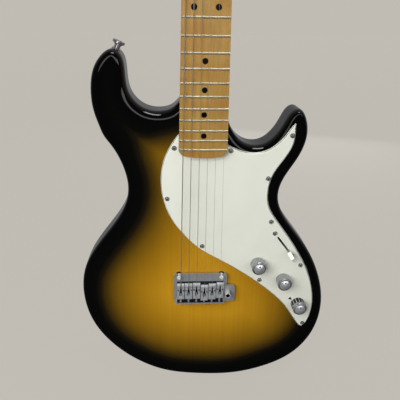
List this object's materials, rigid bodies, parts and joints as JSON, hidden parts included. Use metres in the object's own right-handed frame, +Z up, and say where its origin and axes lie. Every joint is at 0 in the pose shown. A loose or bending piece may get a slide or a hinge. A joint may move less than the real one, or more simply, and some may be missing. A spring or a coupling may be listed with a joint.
{
  "type": "electric guitar",
  "caption": "Solid-body electric guitar with an offset double-cutaway body, bolt-on maple neck, two-post tremolo bridge and a pickguard that carries its controls.",
  "frame": {"origin": "the foot of the headstock, 16 mm above the nut, on the centre line and in the plane of the body face, where a hanger yoke carries the guitar", "axes": "+Z up the neck, +Y from the face to the back, +X to the treble side (right as seen from the front)"},
  "size_m": [0.3325, 0.0688, 1.0244],
  "materials": {
    "lacquered_body": "gloss lacquer, amber fading to black at the edge",
    "maple": "satin lacquer",
    "maple_board": "gloss lacquer",
    "fret_metal": "polished",
    "black_inlay": "flush",
    "bone": "polished",
    "steel": "plain",
    "nickel": "polished",
    "guard_plastic": "layered, off-white over a dark layer",
    "brass_insert": "plain",
    "black_plastic": "moulded",
    "cell_can": "sleeved",
    "board_green": "solder mask",
    "wire_sleeve": "sleeved",
    "string_steel": "wound and plain",
    "satin_metal": "satin",
    "white_plastic": "moulded"
  },
  "bodies": {
    "guitar": {"body": "lacquered_body", "neck": "maple", "fretboard": "maple_board", "frets": "fret_metal", "inlay_dots": "black_inlay", "nut": "bone", "truss_rod": "steel", "string_tree": "nickel", "headstock_screws": "nickel", "tuner_housings": "nickel", "tuner_bushings": "nickel", "pickguard": "guard_plastic", "cover_screws": "nickel", "neck_plate": "nickel", "long_screws": "nickel", "strap_buttons": "nickel", "strap_button_screws": "nickel", "jack_plate": "nickel", "output_jack": "nickel", "bridge_posts": "nickel", "post_anchors": "brass_insert", "spring_claw": "steel", "tremolo_springs": "steel", "tremolo_cover": "guard_plastic", "battery_cover": "black_plastic", "batteries": "cell_can", "circuit_board": "board_green", "control_pots": "steel", "selector_switch": "black_plastic", "blade_switch": "steel", "switch_screws": "nickel", "wiring": "wire_sleeve", "strings": "string_steel"},
    "volume_control": {"volume_knob": "satin_metal", "volume_shaft": "steel"},
    "tone_control": {"tone_knob": "satin_metal", "tone_shaft": "steel"},
    "selector_control": {"selector_knob": "satin_metal", "selector_dial": "black_plastic", "selector_shaft": "steel"},
    "pickup_switch": {"switch_lever": "steel", "switch_tip": "white_plastic"},
    "tremolo_bridge": {"bridge_plate": "satin_metal", "tremolo_block": "steel", "saddles": "satin_metal", "saddle_screws": "steel", "intonation_screws": "nickel", "arm_socket": "nickel"},
    "string_post_1": {"tuner_post_1": "nickel"},
    "tuning_key_1": {"tuner_button_1": "nickel"},
    "string_post_2": {"tuner_post_2": "nickel"},
    "tuning_key_2": {"tuner_button_2": "nickel"},
    "string_post_3": {"tuner_post_3": "nickel"},
    "tuning_key_3": {"tuner_button_3": "nickel"},
    "string_post_4": {"tuner_post_4": "nickel"},
    "tuning_key_4": {"tuner_button_4": "nickel"},
    "string_post_5": {"tuner_post_5": "nickel"},
    "tuning_key_5": {"tuner_button_5": "nickel"},
    "string_post_6": {"tuner_post_6": "nickel"},
    "tuning_key_6": {"tuner_button_6": "nickel"}
  },
  "joints": [
    {"name": "tremolo_pivot", "type": "hinge", "parent": "guitar", "child": "tremolo_bridge", "pos_m": [0, -0.00445, -0.6596], "axis": [-1, 0, 0], "range_deg": [-3, 10], "stiffness_Nm_per_rad": 20, "deforming": ["strings", "tremolo_springs"]},
    {"name": "volume_turn", "type": "hinge", "parent": "guitar", "child": "volume_control", "pos_m": [0.0758, -0.0023, -0.6398], "axis": [0, -1, 0], "range_deg": [-150, 150]},
    {"name": "tone_turn", "type": "hinge", "parent": "guitar", "child": "tone_control", "pos_m": [0.1118, -0.0023, -0.665], "axis": [0, -1, 0], "range_deg": [-150, 150]},
    {"name": "selector_turn", "type": "hinge", "parent": "guitar", "child": "selector_control", "pos_m": [0.1363, -0.0023, -0.7048], "axis": [0, -1, 0], "range_deg": [-75, 75]},
    {"name": "pickup_switch_swing", "type": "hinge", "parent": "guitar", "child": "pickup_switch", "pos_m": [0.108, 0.02, -0.6118], "axis": [-0.7912, 0, -0.6115], "range_deg": [0, 52]},
    {"name": "tuning_key_1_turn", "type": "hinge", "parent": "guitar", "child": "tuning_key_1", "pos_m": [-0.02295, 0.0183, 0.01442], "axis": [0.9653, 0, -0.261], "continuous": true},
    {"name": "tuning_key_2_turn", "type": "hinge", "parent": "guitar", "child": "tuning_key_2", "pos_m": [-0.01619, 0.0183, 0.03942], "axis": [0.9653, 0, -0.261], "continuous": true},
    {"name": "tuning_key_3_turn", "type": "hinge", "parent": "guitar", "child": "tuning_key_3", "pos_m": [-0.00943, 0.0183, 0.06442], "axis": [0.9653, 0, -0.261], "continuous": true},
    {"name": "tuning_key_4_turn", "type": "hinge", "parent": "guitar", "child": "tuning_key_4", "pos_m": [-0.00267, 0.0183, 0.08942], "axis": [0.9653, 0, -0.261], "continuous": true},
    {"name": "tuning_key_5_turn", "type": "hinge", "parent": "guitar", "child": "tuning_key_5", "pos_m": [0.00409, 0.0183, 0.11442], "axis": [0.9653, 0, -0.261], "continuous": true},
    {"name": "tuning_key_6_turn", "type": "hinge", "parent": "guitar", "child": "tuning_key_6", "pos_m": [0.01085, 0.0183, 0.13942], "axis": [0.9653, 0, -0.261], "continuous": true},
    {"name": "string_post_1_turn", "type": "hinge", "parent": "guitar", "child": "string_post_1", "pos_m": [-0.0209, 0.0015, 0.022], "axis": [0, -1, 0], "continuous": true},
    {"name": "string_post_2_turn", "type": "hinge", "parent": "guitar", "child": "string_post_2", "pos_m": [-0.01414, 0.0015, 0.047], "axis": [0, -1, 0], "continuous": true},
    {"name": "string_post_3_turn", "type": "hinge", "parent": "guitar", "child": "string_post_3", "pos_m": [-0.00738, 0.0015, 0.072], "axis": [0, -1, 0], "continuous": true},
    {"name": "string_post_4_turn", "type": "hinge", "parent": "guitar", "child": "string_post_4", "pos_m": [-0.00062, 0.0015, 0.097], "axis": [0, -1, 0], "continuous": true},
    {"name": "string_post_5_turn", "type": "hinge", "parent": "guitar", "child": "string_post_5", "pos_m": [0.00614, 0.0015, 0.122], "axis": [0, -1, 0], "continuous": true},
    {"name": "string_post_6_turn", "type": "hinge", "parent": "guitar", "child": "string_post_6", "pos_m": [0.0129, 0.0015, 0.147], "axis": [0, -1, 0], "continuous": true}
  ],
  "couplings": [
    {"joint": "string_post_1_turn", "follows": "tuning_key_1_turn", "ratio": 0.066667},
    {"joint": "string_post_2_turn", "follows": "tuning_key_2_turn", "ratio": 0.066667},
    {"joint": "string_post_3_turn", "follows": "tuning_key_3_turn", "ratio": 0.066667},
    {"joint": "string_post_4_turn", "follows": "tuning_key_4_turn", "ratio": 0.066667},
    {"joint": "string_post_5_turn", "follows": "tuning_key_5_turn", "ratio": 0.066667},
    {"joint": "string_post_6_turn", "follows": "tuning_key_6_turn", "ratio": 0.066667}
  ]
}
